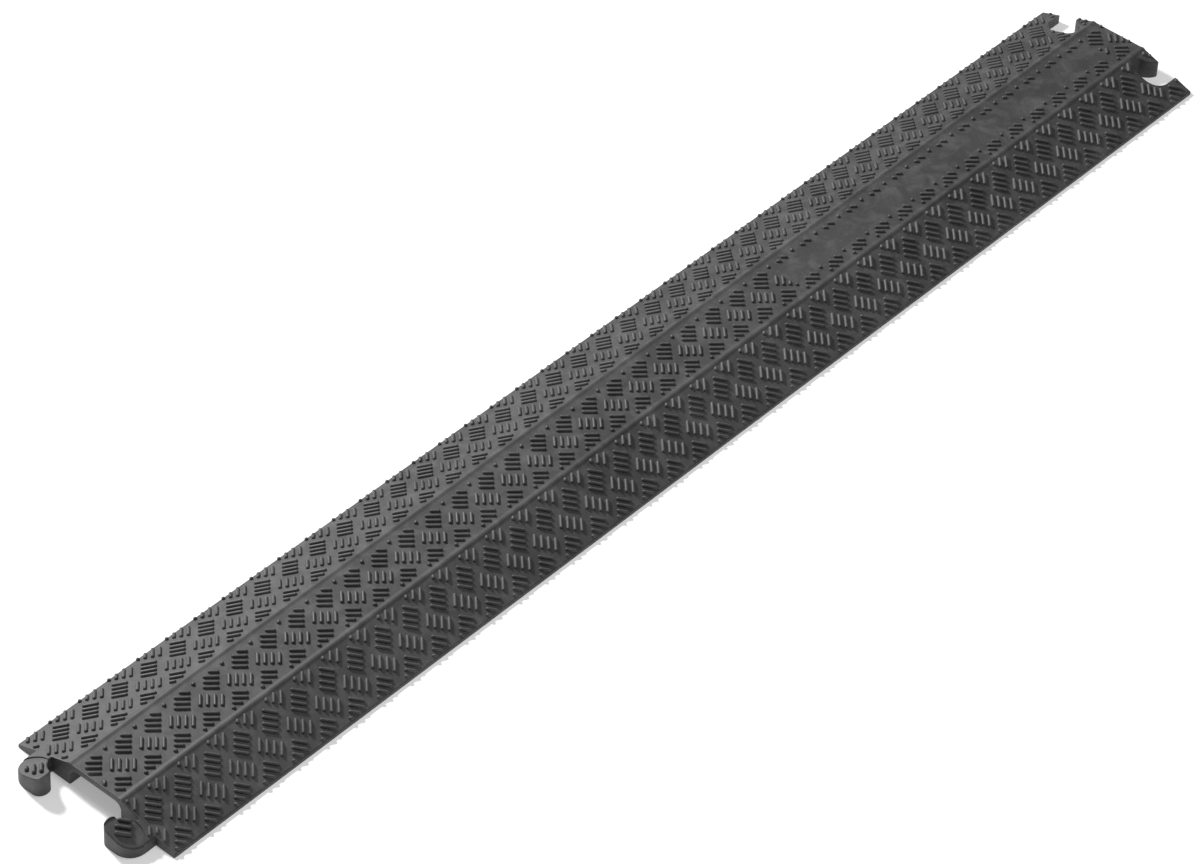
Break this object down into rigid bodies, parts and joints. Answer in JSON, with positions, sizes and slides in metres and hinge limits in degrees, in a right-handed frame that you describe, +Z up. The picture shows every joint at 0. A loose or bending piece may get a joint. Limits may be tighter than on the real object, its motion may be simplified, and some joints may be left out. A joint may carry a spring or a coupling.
{
  "type": "floor cord cover",
  "caption": "Low rubber floor cover for cables: flat top between two treaded ramps, an open channel below, jigsaw lugs at one end and matching notches at the other.",
  "frame": {"origin": "centre of the footprint, lugs included, on the floor plane", "axes": "+X along the strip from the lug end to the notch end, +Z up from the floor"},
  "size_m": [1.021, 0.13, 0.019],
  "materials": {
    "black_rubber": "matt, slightly greyed black"
  },
  "bodies": {
    "root": {"cord_cover": "black_rubber"}
  },
  "joints": []
}
